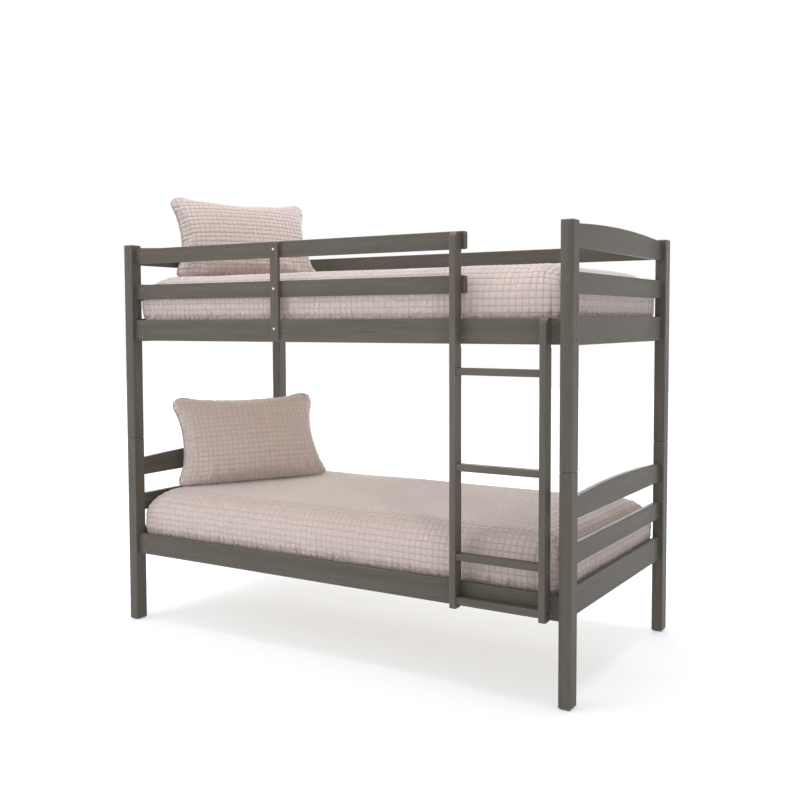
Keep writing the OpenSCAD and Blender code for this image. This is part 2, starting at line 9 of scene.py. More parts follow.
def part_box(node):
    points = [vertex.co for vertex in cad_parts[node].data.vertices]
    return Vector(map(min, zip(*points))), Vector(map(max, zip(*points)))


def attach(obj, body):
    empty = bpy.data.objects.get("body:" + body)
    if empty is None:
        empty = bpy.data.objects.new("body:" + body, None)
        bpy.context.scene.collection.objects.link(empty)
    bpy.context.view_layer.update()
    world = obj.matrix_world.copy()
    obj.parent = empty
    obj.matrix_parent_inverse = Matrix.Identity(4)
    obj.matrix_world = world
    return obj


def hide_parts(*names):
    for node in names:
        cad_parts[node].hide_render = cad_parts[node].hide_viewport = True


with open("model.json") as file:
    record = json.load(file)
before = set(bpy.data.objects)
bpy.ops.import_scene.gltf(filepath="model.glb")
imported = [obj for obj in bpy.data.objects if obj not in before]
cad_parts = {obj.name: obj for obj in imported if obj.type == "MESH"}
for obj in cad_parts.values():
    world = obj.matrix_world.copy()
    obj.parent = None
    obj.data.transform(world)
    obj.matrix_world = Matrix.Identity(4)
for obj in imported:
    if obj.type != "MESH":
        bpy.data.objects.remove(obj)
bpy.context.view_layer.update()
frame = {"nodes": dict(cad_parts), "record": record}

# ---------------------------------------------------------------- named values, in metres

QUILT_CELL = 0.0242  # stitched squares of the coverlets and shams
QUILT_STEPS = 6  # mesh cells across one stitched square
QUILT_PUFF = 0.0030  # height of the padded squares of a coverlet
SHAM_PUFF = 0.0033  # and of a sham
QUILT_FULLNESS = 0.36  # the lower, the flatter the squares are between their stitched lines
GROOVE = 0.0010  # half width of a stitched line
CORD_SIDES = 8  # sides of a binding, tape or piping
BINDING_RADIUS = 0.0035
TAPE_RADIUS = 0.004
PIPING_RADIUS = 0.0034

COVER_INSET = 0.0042  # the cloth's base surface inside the CAD solid
COVER_RADIUS = 0.108  # rounding along the top edges
COVER_CORNER = 0.007  # rounding of the upright corners
TUCK = 0.009  # how far the skirt is pushed in where the rails hold it
TUCK_BAND = 0.034  # height of the band over which the skirt comes out again
GATHER_HEIGHT, GATHER_BAND = 0.008, 0.018  # where the skirt gathers above the rails
WIDE_PLEAT, NARROW_PLEAT = 0.0044, 0.0028  # depths of the gathers
RIPPLE = 0.0030  # slow ripple along a side
BUNCH, BUNCH_REACH = 0.0042, 0.16  # folds near the corners and how far they run
CREASE, CREASE_LIP = 0.0045, 0.0030  # a crease where something presses on the cloth, and its lip
TOP_SAG = 0.0020  # the top is lower than its solid by this much, give or take as much again
OUTWARD = 0.0008  # folds stand out no further than this, so the coverlet lifts clear of the rails

MATTRESS_INSET = 0.020  # inside the CAD solid, which leaves room for the coverlet
MATTRESS_CORNER = 0.055
MATTRESS_EDGE = 0.080

WHITE = (1.0, 1.0, 1.0, 1.0)
GRAIN_STRETCH = 0.035  # scale of the wood pattern along the grain
EDGE_WEAR_AND_HIGHLIGHT_REACH = 0.004  # width of the lightened edges of the wood, partly wear and partly a painted highlight
FLOOR_HALF = 14.0


# ---------------------------------------------------------------- small helpers

def smooth(x):
    x = np.clip(x, 0.0, 1.0)
    return x * x * (3 - 2 * x)


def mesh_object(name, points, faces, body):
    mesh = bpy.data.meshes.new(name)
    mesh.from_pydata([tuple(map(float, p)) for p in points], [], faces)
    mesh.update()
    mesh.shade_smooth()
    piece = bpy.data.objects.new(name, mesh)
    bpy.context.scene.collection.objects.link(piece)
    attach(piece, body)
    return piece


def add_flat_coordinates(piece, flat):
    """Stores each point's place on the flat cloth, which the quilted material reads."""
    layer = piece.data.attributes.new("flat", "FLOAT_VECTOR", "POINT")
    values = np.zeros((len(flat), 3), np.float32)
    values[:, :2] = flat
    layer.data.foreach_set("vector", values.ravel())


def point_normals(points, faces):
    """Unit normals of a quad mesh."""
    quads = np.asarray(faces)
    across = points[quads[:, 2]] - points[quads[:, 0]]
    along = points[quads[:, 3]] - points[quads[:, 1]]
    face_normals = np.cross(across, along)
    normals = np.zeros_like(points)
    for corner in range(4):
        np.add.at(normals, quads[:, corner], face_normals)
    return normals / np.maximum(np.linalg.norm(normals, axis=1, keepdims=True), 1e-12)


def waves(x, y, seed, size, count=7):
    """Soft seeded undulation, between about -1 and 1, with features of about the given size."""
    rng = np.random.default_rng(seed)
    total = np.zeros_like(x)
    for _ in range(count):
        angle = rng.uniform(0, 2 * math.pi)
        scale = 2 * math.pi / (size * rng.uniform(0.7, 1.6))
        shift = rng.uniform(0, 2 * math.pi)
        total += np.sin((x * math.cos(angle) + y * math.sin(angle)) * scale + shift)
    return total / math.sqrt(count * 2)


def quilting(u, v):
    """Height of the padded squares over the cloth, 0 on the stitched lines and 1 in the middle."""
    across = np.abs(np.sin(np.pi * u / QUILT_CELL))
    along = np.abs(np.sin(np.pi * v / QUILT_CELL))
    return (across * along) ** QUILT_FULLNESS


# ---------------------------------------------------------------- materials

class Nodes:
    """Short calls for building one material's node tree."""

    def __init__(self, name):
        self.material = bpy.data.materials.new(name)
        self.material.use_nodes = True
        self.tree = self.material.node_tree
        self.shader = self.tree.nodes["Principled BSDF"]

    def add(self, kind, inputs=None, **settings):
        node = self.tree.nodes.new(kind)
        for key, value in settings.items():
            setattr(node, key, value)
        for key, value in (inputs or {}).items():
            self.put(node.inputs[key], value)
        return node

    def put(self, socket, value):
        if isinstance(value, bpy.types.NodeSocket):
            self.tree.links.new(value, socket)
        else:
            socket.default_value = value

    def place(self, scale=(1.0, 1.0, 1.0)):
        coordinates = self.add("ShaderNodeTexCoord")
        values = {"Vector": coordinates.outputs["Object"], "Scale": scale}
        return self.add("ShaderNodeMapping", values).outputs["Vector"]

    def noise(self, vector, scale, detail=4.0, roughness=0.55):
        values = {"Vector": vector, "Scale": scale, "Detail": detail, "Roughness": roughness}
        return self.add("ShaderNodeTexNoise", values).outputs["Fac"]

    def math(self, operation, a, b):
        return self.add("ShaderNodeMath", {0: a, 1: b}, operation=operation).outputs[0]

    def span(self, value, low, high, to_low, to_high):
        values = {"Value": value, "From Min": low, "From Max": high}
        values.update({"To Min": to_low, "To Max": to_high})
        return self.add("ShaderNodeMapRange", values).outputs["Result"]

    def mix(self, factor, a, b):
        return self.add("ShaderNodeMix", {0: factor, 6: a, 7: b}, data_type="RGBA").outputs[2]

    def bump(self, height, strength, distance, normal=None):
        values = {"Height": height, "Strength": strength, "Distance": distance}
        if normal is not None:
            values["Normal"] = normal
        return self.add("ShaderNodeBump", values).outputs["Normal"]

    def edges(self, reach):
        """1 along the outer edges of a solid and 0 on its faces."""
        settings = {"inside": True, "only_local": True, "samples": 6}
        inner = self.add("ShaderNodeAmbientOcclusion", {"Distance": reach}, **settings)
        return self.span(inner.outputs["AO"], 0.55, 0.95, 1.0, 0.0)

    def set(self, **values):
        for key, value in values.items():
            self.put(self.shader.inputs[key.replace("_", " ")], value)
        return self.material


def srgb(r, g, b):
    """A colour given as 0 to 255 on screen, as the linear values that shaders take."""
    linear = [((c / 255 + 0.055) / 1.055) ** 2.4 if c > 10 else c / 255 / 12.92 for c in (r, g, b)]
    return (*linear, 1.0)


def wood_material(name, axis, light, dark, sheen_rough, pores):
    """Straight-grained timber whose grain runs along one axis of the bed."""
    n = Nodes(name)
    stretch = [1.0, 1.0, 1.0]
    stretch[axis] = GRAIN_STRETCH
    grain_place = n.place(tuple(stretch))
    broad = n.noise(grain_place, 26.0, 5.0, 0.6)
    fine = n.noise(grain_place, 210.0, 3.0, 0.65)
    cloud = n.noise(n.place(), 2.3, 2.0)
    tone = n.math("ADD", n.math("MULTIPLY", broad, 0.62), n.math("MULTIPLY", fine, 0.38))
    tone = n.span(tone, 0.36, 0.64, 0.0, 1.0)
    colour = n.mix(tone, dark, light)
    colour = n.mix(n.span(cloud, 0.35, 0.65, 0.0, 0.22), colour, dark)
    line = n.span(fine, 0.28, 0.40, pores, 0.0)
    colour = n.mix(line, colour, (0.03, 0.028, 0.025, 1.0))
    # The edges are lightened: partly wear, partly a painted highlight where light catches the rounded
    # edges.
    wear_and_highlight = n.math("MULTIPLY", n.edges(EDGE_WEAR_AND_HIGHLIGHT_REACH), n.span(cloud, 0.3, 0.7, 0.25, 0.6))
    colour = n.mix(wear_and_highlight, colour, EDGE_WORN_AND_LIT)
    rough = n.span(broad, 0.35, 0.65, sheen_rough - 0.06, sheen_rough + 0.07)
    normal = n.bump(fine, 0.22, 0.0006, n.bump(broad, 0.10, 0.0012))
    return n.set(Base_Color=colour, Roughness=rough, Normal=normal, Specular_IOR_Level=0.18)


def metal_material(name, colour, roughness, metallic):
    """Plated steel with fine marks and rubbed edges."""
    n = Nodes(name)
    marks = n.noise(n.place(), 420.0, 5.0, 0.7)
    cloud = n.noise(n.place(), 90.0, 2.0)
    edge = n.math("MULTIPLY", n.edges(0.0006), 0.4)
    rubbed = n.math("MAXIMUM", n.span(marks, 0.4, 0.7, 0.0, 0.35), edge)
    worn = n.mix(rubbed, colour, (0.45, 0.44, 0.42, 1.0))
    rough = n.span(cloud, 0.3, 0.7, roughness - 0.08, roughness + 0.1)
    normal = n.bump(marks, 0.15, 0.0002)
    return n.set(Base_Color=worn, Roughness=rough, Metallic=metallic, Normal=normal)


def quilt_material(name, light, deep):
    """Cotton quilted in squares: stitched lines darkened with painted shade, a fine weave and a soft
    sheen.
    """
    n = Nodes(name)
    flat = n.add("ShaderNodeAttribute", attribute_name="flat").outputs["Vector"]
    split = n.add("ShaderNodeSeparateXYZ", {"Vector": flat})
    nearest = None
    for along in ("X", "Y"):
        cells = n.math("DIVIDE", split.outputs[along], QUILT_CELL)
        edge = n.math("PINGPONG", cells, 0.5)
        nearest = edge if nearest is None else n.math("MINIMUM", nearest, edge)
    line = n.span(nearest, 0.0, GROOVE * 2 / QUILT_CELL, 1.0, 0.0)
    weave = n.noise(flat, 1400.0, 2.0, 0.7)
    slub = n.noise(flat, 60.0, 3.0)
    cloud = n.noise(n.place(), 3.0, 3.0)
    colour = n.mix(n.span(cloud, 0.3, 0.7, 0.0, 0.35), light, deep)
    colour = n.mix(n.span(slub, 0.35, 0.7, 0.0, 0.16), colour, deep)
    # Painted shade: the stitched lines are darkened as though shade fell in their grooves.
    colour = n.mix(n.math("MULTIPLY", line, 0.36), colour, srgb(124, 106, 101))
    height = n.math("ADD", n.math("MULTIPLY", weave, 0.35), n.math("MULTIPLY", line, -1.0))
    normal = n.bump(height, 0.9, 0.0019)
    n.set(Base_Color=colour, Roughness=0.82, Normal=normal, Specular_IOR_Level=0.25)
    return n.set(Sheen_Weight=1.0, Sheen_Roughness=0.42, Sheen_Tint=(1.0, 0.97, 0.96, 1.0))


def ticking_material(name):
    """Pale mattress cloth with thin woven stripes."""
    n = Nodes(name)
    values = {"Vector": n.place(), "Scale": 14.0, "Distortion": 0.0}
    across = n.add("ShaderNodeTexWave", values).outputs["Fac"]
    weave = n.noise(n.place(), 900.0, 2.0, 0.7)
    colour = n.mix(n.span(across, 0.86, 0.94, 0.0, 0.35), srgb(232, 228, 220), srgb(176, 172, 168))
    return n.set(Base_Color=colour, Roughness=0.88, Normal=n.bump(weave, 0.3, 0.0008))


GREY_LIGHT = srgb(94, 89, 82)
GREY_DARK = srgb(78, 73, 66)
# Paler tone of the wood's edges: wear and a painted highlight.
EDGE_WORN_AND_LIT = srgb(130, 124, 114)
PINE_LIGHT = srgb(226, 202, 160)
PINE_DARK = srgb(196, 164, 118)


def grain_axis(node):
    """The axis of the bed that a timber part's grain runs along: its longest side."""
    low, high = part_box(node)
    size = high - low
    return max(range(3), key=lambda i: size[i])


def dress_cad_nodes():
    """Gives every timber and metal part its material. The bedding is replaced, so it has none."""
    grey = [
        wood_material(f"grey_wood_{name}", axis, GREY_LIGHT, GREY_DARK, 0.46, 0.30)
        for axis, name in enumerate("xyz")
    ]
    pine = wood_material("pine", 1, PINE_LIGHT, PINE_DARK, 0.6, 0.12)
    finishes = {
        "slat_wood": pine,
        "dark_steel": metal_material("dark_steel", srgb(44, 41, 38), 0.42, 0.85),
        "bright_steel": metal_material("bright_steel", srgb(205, 206, 208), 0.28, 1.0),
    }
    for row in frame["record"]["subparts"]:
        node, slot = row["node"], row["material_slot"]
        if slot == "grey_wood":
            material = grey[grain_axis(node)]
        elif slot in finishes:
            material = finishes[slot]
        else:
            continue
        piece = frame["nodes"][node]
        piece.data.materials.clear()
        piece.data.materials.append(material)


# ---------------------------------------------------------------- coverlets

def edge_stations(half, radius, step):
    """Stations across a face of a rounded block: on the flat cloth and on the block."""
    reach = half - radius + radius * math.pi / 4
    count = max(2, round(reach / step))
    flat = np.linspace(-reach, reach, 2 * count + 1)
    past = np.maximum(np.abs(flat) - (half - radius), 0.0)
    block = np.where(past > 0, half - radius + radius * np.tan(past / radius), np.abs(flat))
    return flat, np.sign(flat) * block


def skirt_stations(depth, radius, step):
    """Stations down a side of a rounded block, from its top edge: cloth length and block depth."""
    length = radius * math.pi / 4 + depth - radius
    flat = np.linspace(0, length, max(2, round(length / step)) + 1)
    arc = np.minimum(flat, radius * math.pi / 4)
    block = radius - radius * np.tan(math.pi / 4 - arc / radius) + np.maximum(flat - arc, 0.0)
    return flat, block


def rounded_sheet(half_x, half_y, depth, radius, step):
    """A sheet over a rounded block: block points, cloth coordinates and quads, open at the bottom."""
    flat_x, block_x = edge_stations(half_x, radius, step)
    flat_y, block_y = edge_stations(half_y, radius, step)
    flat_s, block_s = skirt_stations(depth, radius, step)
    nx, ny, ns = len(flat_x), len(flat_y), len(flat_s)
    gx, gy = np.meshgrid(np.arange(nx), np.arange(ny), indexing="ij")
    points = [np.stack([block_x[gx], block_y[gy], np.zeros_like(block_x[gx])], -1).reshape(-1, 3)]
    flats = [np.stack([flat_x[gx], flat_y[gy]], -1).reshape(-1, 2)]
    top = gx * ny + gy
    faces = [np.stack([top[:-1, :-1], top[1:, :-1], top[1:, 1:], top[:-1, 1:]], -1).reshape(-1, 4)]
    ring = np.concatenate([top[:, 0], top[-1, 1:], top[-2::-1, -1], top[0, -2:0:-1]])
    out = np.concatenate([
        np.tile([0, -1], (nx, 1)), np.tile([1, 0], (ny - 1, 1)),
        np.tile([0, 1], (nx - 1, 1)), np.tile([-1, 0], (ny - 2, 1)),
    ])
    base, base_flat = points[0][ring], flats[0][ring]
    last = ring
    start = nx * ny
    for s in range(1, ns):
        level = base.copy()
        level[:, 2] = -block_s[s]
        points.append(level)
        flats.append(base_flat + out * flat_s[s])
        row = start + np.arange(len(ring))
        faces.append(np.stack([last, row, np.roll(row, -1), np.roll(last, -1)], -1))
        last, start = row, start + len(ring)
    return np.concatenate(points), np.concatenate(flats), np.concatenate(faces), last


def round_block(points, half_x, half_y, radius):
    """Turns points on a sharp block, whose top is at 0, into points on a rounded one."""
    inner = np.empty_like(points)
    inner[:, 0] = np.clip(points[:, 0], radius - half_x, half_x - radius)
    inner[:, 1] = np.clip(points[:, 1], radius - half_y, half_y - radius)
    inner[:, 2] = np.minimum(points[:, 2], -radius)
    away = points - inner
    away /= np.maximum(np.linalg.norm(away, axis=1, keepdims=True), 1e-9)
    return inner + away * radius


def square_corners(points, half_x, half_y):
    """Draws the upright corners out to a smaller radius. The one by the ladder stays rounder."""
    dx = np.maximum(np.abs(points[:, 0]) - (half_x - COVER_RADIUS), 0.0)
    dy = np.maximum(np.abs(points[:, 1]) - (half_y - COVER_RADIUS), 0.0)
    turn = np.arctan2(dy, np.maximum(dx, 1e-9))
    cos, sin = np.cos(turn), np.sin(turn)
    start = COVER_RADIUS - COVER_CORNER
    along = start * (cos + sin)
    arc = along + np.sqrt(np.maximum(along ** 2 - 2 * start ** 2 + COVER_CORNER ** 2, 0.0))
    flat_part = np.minimum(cos, sin) / np.maximum(cos, sin) * COVER_RADIUS < start
    reach = np.where(flat_part, COVER_RADIUS / np.maximum(cos, sin), arc)
    high = smooth((points[:, 2] + COVER_RADIUS) / COVER_RADIUS)
    grow = (reach / COVER_RADIUS - 1) * (1 - 0.45 * high)
    front_right = (points[:, 0] > 0) & (points[:, 1] < 0)
    grow *= np.where(front_right, 0.6, 1.0)
    corner = (dx > 0) & (dy > 0)
    moved = points.copy()
    moved[:, 0] += np.where(corner, np.sign(points[:, 0]) * dx * grow, 0.0)
    moved[:, 1] += np.where(corner, np.sign(points[:, 1]) * dy * grow, 0.0)
    return moved


def skirt_shape(points, centre, half_x, half_y, rail_top, creases, seed):
    """Presses the skirt in where the rails hold it, and gathers and wrinkles it above them."""
    dx = np.abs(points[:, 0] - centre[0]) - (half_x - COVER_RADIUS)
    dy = np.abs(points[:, 1] - centre[1]) - (half_y - COVER_RADIUS)
    side = smooth(np.maximum(dx, dy) / COVER_RADIUS * 1.2)
    on_end = dx > dy
    around = np.where(on_end, points[:, 1] + 3.0, points[:, 0])
    height = points[:, 2] - rail_top
    squeeze = 1 - smooth((height + 0.012) / TUCK_BAND)
    gather = np.exp(-((height - GATHER_HEIGHT) / GATHER_BAND) ** 2)
    pleats = waves(around, around * 0, seed, 0.045, 9) * WIDE_PLEAT
    pleats += waves(around, height, seed + 1, 0.022, 9) * NARROW_PLEAT
    push = -TUCK * squeeze + gather * (pleats - 0.0005)
    push += waves(around, height * 2, seed + 2, 0.33) * RIPPLE * smooth(height / 0.05 + 0.6)
    to_side = half_x - np.abs(points[:, 0] - centre[0])
    to_front = half_y - np.abs(points[:, 1] - centre[1])
    bunched = np.exp(-np.where(on_end, to_front, to_side) / BUNCH_REACH)
    bunched *= smooth(height / 0.03 + 0.5) * smooth((0.19 - height) / 0.05)
    slant = around + height * 0.35 * waves(around, height, seed + 3, 0.25, 3)
    push += bunched * waves(slant, height * 0.25, seed + 4, 0.040, 9) * BUNCH
    for x in creases:
        away = points[:, 0] - x - 0.05 * height
        band = smooth(height / 0.02) * smooth((0.16 - height) / 0.06) * (points[:, 1] < centre[1])
        lip = CREASE_LIP * np.exp(-((away - 0.020) / 0.012) ** 2)
        push -= band * (CREASE * np.exp(-(away / 0.007) ** 2) - lip)
    push = np.where(push > 0, OUTWARD * np.tanh(push / OUTWARD), push)
    return side[:, None] * push[:, None]


def coverlet(node, rail, body, creases, seed):
    """A quilted coverlet over one mattress, tucked down inside the rails."""
    low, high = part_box(node)
    centre = ((low.x + high.x) / 2, (low.y + high.y) / 2)
    half_x = (high.x - low.x) / 2 - COVER_INSET
    half_y = (high.y - low.y) / 2 - COVER_INSET
    top = high.z - QUILT_PUFF - 0.0015
    rail_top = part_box(rail)[1].z
    step = QUILT_CELL / QUILT_STEPS
    points, flat, faces, hem = rounded_sheet(half_x, half_y, top - low.z, COVER_RADIUS, step)
    points = square_corners(round_block(points, half_x, half_y, COVER_RADIUS), half_x, half_y)
    points += (centre[0], centre[1], top)
    normals = point_normals(points, faces)
    points += normals * skirt_shape(points, centre, half_x, half_y, rail_top, creases, seed)
    on_top = smooth((points[:, 2] - (top - 0.03)) / 0.03)
    points[:, 2] -= on_top * (TOP_SAG + TOP_SAG * waves(points[:, 0], points[:, 1], seed + 5, 0.45))
    normals = point_normals(points, faces)
    puff = quilting(flat[:, 0], flat[:, 1]) * QUILT_PUFF
    points += normals * puff[:, None]
    piece = mesh_object(node + "_quilt", points, faces.tolist(), body)
    add_flat_coordinates(piece, flat)
    piece.data.materials.append(QUILT)
    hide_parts(node)
    binding = tube(node + "_binding", points[hem][::3], BINDING_RADIUS, body, QUILT_PLAIN)


def tube(name, path, radius, body, material):
    """A round cord along a closed loop of points."""
    ahead = np.roll(path, -1, 0) - np.roll(path, 1, 0)
    ahead /= np.linalg.norm(ahead, axis=1, keepdims=True)
    up = np.tile([0.0, 0.0, 1.0], (len(path), 1))
    steep = np.abs(ahead[:, 2]) > 0.9
    up[steep] = (0.0, 1.0, 0.0)
    side = np.cross(ahead, up)
    side /= np.linalg.norm(side, axis=1, keepdims=True)
    up = np.cross(side, ahead)
    turns = np.linspace(0, 2 * math.pi, CORD_SIDES, endpoint=False)[None, :, None]
    rings = path[:, None] + radius * (np.cos(turns) * side[:, None] + np.sin(turns) * up[:, None])
    faces = []
    for i in range(len(path)):
        a, b = i * CORD_SIDES, (i + 1) % len(path) * CORD_SIDES
        for k in range(CORD_SIDES):
            m = (k + 1) % CORD_SIDES
            faces.append((a + k, a + m, b + m, b + k))
    piece = mesh_object(name, rings.reshape(-1, 3), faces, body)
    piece.data.materials.append(material)
    return piece


# ---------------------------------------------------------------- mattresses

def mattress(node, body):
    """A plain mattress with soft top edges and a tape round the bottom, all inside its coverlet."""
    low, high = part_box(node)
    centre = Vector(((low.x + high.x) / 2, (low.y + high.y) / 2, 0))
    corner, edge = MATTRESS_CORNER, MATTRESS_EDGE
    half_x, half_y = (high.x - low.x) / 2 - MATTRESS_INSET, (high.y - low.y) / 2 - MATTRESS_INSET
    z0, z1 = low.z + 0.001, high.z - 0.008
    levels = [(z0, 0.016), (z0 + 0.004, 0.006), (z0 + 0.014, 0.0), (z0 + 0.022, 0.003)]
    levels += [(z, 0.0) for z in np.linspace(z0 + 0.04, z1 - edge, 5)]
    for turn in np.radians(np.linspace(10, 90, 9)):
        levels.append((z1 - edge + edge * math.sin(turn), edge * (1 - math.cos(turn))))
    rings = [
        rounded_loop(centre, half_x - inward, half_y - inward, max(corner - inward, 0.012), z)
        for z, inward in levels
    ]
    points, faces = loft(rings)
    piece = mesh_object(node + "_body", points, faces, body)
    piece.data.materials.append(TICKING)
    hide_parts(node)
    loop = rounded_loop(centre, half_x, half_y, corner, z0 + 0.016)
    tube(node + "_tape", loop, TAPE_RADIUS, body, TICKING)


def rounded_loop(centre, half_x, half_y, radius, z):
    """Points round a rectangle with round corners, level at z. Every loop has the same number."""
    arc_points, steps = 12, 40
    loop = []
    for sx, sy, start in ((1, -1, -90), (1, 1, 0), (-1, 1, 90), (-1, -1, 180)):
        cx, cy = centre[0] + sx * (half_x - radius), centre[1] + sy * (half_y - radius)
        for k in range(arc_points + 1):
            a = math.radians(start + 90 * k / arc_points)
            loop.append((cx + radius * math.cos(a), cy + radius * math.sin(a), z))
        corner_end = loop[-1]
        run = 2 * ((half_y if start in (-90, 90) else half_x) - radius)
        ahead = (math.cos(math.radians(start + 180)), math.sin(math.radians(start + 180)))
        for k in range(1, steps):
            f = run * k / steps
            loop.append((corner_end[0] + ahead[0] * f, corner_end[1] + ahead[1] * f, z))
    return np.array(loop)


def loft(rings):
    """Joins rings of equal length from the bottom up and caps both ends."""
    count = len(rings[0])
    faces = []
    for level in range(len(rings) - 1):
        a, b = level * count, (level + 1) * count
        for k in range(count):
            m = (k + 1) % count
            faces.append((a + k, a + m, b + m, b + k))
    faces.append(tuple(range(count))[::-1])
    faces.append(tuple(range((len(rings) - 1) * count, len(rings) * count)))
    return np.concatenate(rings), faces


# ---------------------------------------------------------------- pillows

SHAM_COLUMNS, SHAM_ROWS = 66, 44  # cells of the cloth that is simulated
SHAM_FLAT = (0.735, 0.49)  # the cut size of a sham
SHAM_CORNER = 0.075  # its corners are cut round
SHAM_REFINE = 3  # the simulated cloth is refined this much before the quilting
SHAM_FRAMES = 16  # frames of simulation
SHAM_PRESSURE = 2.0
SHAM_CROWN = 0.072  # half the thickness that the simulation starts from
SHAM_DRAW_X, SHAM_DRAW_Z = 0.078, 0.096  # how far the sides pull in between the corners, as shares
SHAM_GATHER = 0.0034  # gathers along the seam
SHAM_PLEAT = 0.0065  # pleats near the bottom
SHAM_TRAVEL = 0.022  # the furthest that the simulation moves the cloth


def sham_grid(columns, rows, size):
    """Two layers of cloth that share their border: faces, each layer's index grid, and the flat grid."""
    i, j = np.meshgrid(np.arange(columns + 1), np.arange(rows + 1), indexing="ij")
    u, v = (i / columns - 0.5) * size[0], (j / rows - 0.5) * size[1]
    u, v = cut_round(u, v, size)
    inside = (i > 0) & (i < columns) & (j > 0) & (j < rows)
    front = np.arange(u.size).reshape(u.shape)
    back = front.copy()
    back[inside] = u.size + np.arange(inside.sum())
    faces = np.concatenate([quads_of(front), quads_of(back)[:, ::-1]])
    return faces, front, back, u, v


def cut_round(u, v, size):
    """Rounds the four corners of a flat grid."""
    half_u, half_v = size[0] / 2 - SHAM_CORNER, size[1] / 2 - SHAM_CORNER
    a = np.maximum(np.abs(u) - half_u, 0.0) / SHAM_CORNER
    b = np.maximum(np.abs(v) - half_v, 0.0) / SHAM_CORNER
    round_u = half_u + a * np.sqrt(1 - b ** 2 / 2) * SHAM_CORNER
    round_v = half_v + b * np.sqrt(1 - a ** 2 / 2) * SHAM_CORNER
    return np.where(a > 0, np.sign(u) * round_u, u), np.where(b > 0, np.sign(v) * round_v, v)


def quads_of(index):
    return np.stack([index[:-1, :-1], index[1:, :-1], index[1:, 1:], index[:-1, 1:]], -1).reshape(-1, 4)


def inflate(points, faces):
    """Blows the cloth up by simulation and returns the moved points."""
    mesh = bpy.data.meshes.new("sham_cloth")
    mesh.from_pydata(points.tolist(), [], faces.tolist())
    cloth_object = bpy.data.objects.new("sham_cloth", mesh)
    bpy.context.scene.collection.objects.link(cloth_object)
    cloth = cloth_object.modifiers.new("Cloth", "CLOTH")
    settings = cloth.settings
    settings.quality = 6
    settings.mass = 0.35
    settings.tension_stiffness = 30
    settings.compression_stiffness = 12
    settings.shear_stiffness = 8
    settings.bending_stiffness = 0.6
    settings.use_pressure = True
    settings.uniform_pressure_force = SHAM_PRESSURE
    settings.effector_weights.gravity = 0.0
    settings.air_damping = 3
    cloth.collision_settings.use_collision = False
    scene = bpy.context.scene
    cloth.point_cache.frame_start = 1
    cloth.point_cache.frame_end = SHAM_FRAMES
    for number in range(1, SHAM_FRAMES + 1):
        scene.frame_set(number)
    evaluated = cloth_object.evaluated_get(bpy.context.evaluated_depsgraph_get())
    moved = np.array([v.co for v in evaluated.data.vertices])
    scene.frame_set(1)
    bpy.data.objects.remove(cloth_object)
    return moved


def settle(before, after):
    """Limits how far the simulation moves the cloth, smoothly."""
    shift = after - before
    length = np.maximum(np.linalg.norm(shift, axis=1, keepdims=True), 1e-9)
    return before + shift / length * SHAM_TRAVEL * np.tanh(length / SHAM_TRAVEL)


def plump(u, v, front, back):
    """A crowned form with drawn-in sides, which the simulation starts from."""
    moved = np.zeros((back.max() + 1, 3))
    a, b = np.abs(u / SHAM_FLAT[0] * 2), np.abs(v / SHAM_FLAT[1] * 2)
    crown = SHAM_CROWN * ((1 - a ** 2.4) * (1 - b ** 2.4)) ** 0.62
    x = u * (1 - SHAM_DRAW_X * (1 - b ** 2) * a ** 2)
    z = v * (1 - SHAM_DRAW_Z * (1 - a ** 2) * b ** 2)
    for index, sign in ((front, -1), (back, 1)):
        moved[index.ravel()] = np.stack([x, sign * crown, z], -1).reshape(-1, 3)
    return moved


def upsample(grid, factor):
    """Smoothly refines a grid of points by cubic interpolation along both directions."""
    for axis in (0, 1):
        grid = np.moveaxis(grid, axis, 0)
        count = len(grid)
        at = np.linspace(0, count - 1, (count - 1) * factor + 1)
        base = np.minimum(at.astype(int), count - 2)
        t = (at - base).reshape((-1,) + (1,) * (grid.ndim - 1))
        p0, p1 = grid[np.maximum(base - 1, 0)], grid[base]
        p2, p3 = grid[base + 1], grid[np.minimum(base + 2, count - 1)]
        p0 = np.where((base == 0).reshape(t.shape), 2 * p1 - p2, p0)
        p3 = np.where((base == count - 2).reshape(t.shape), 2 * p2 - p1, p3)
        grid = 0.5 * (2 * p1 + (p2 - p0) * t + (2 * p0 - 5 * p1 + 4 * p2 - p3) * t ** 2
                      + (3 * p1 - p0 - 3 * p2 + p3) * t ** 3)
        grid = np.moveaxis(grid, 0, axis)
    return grid


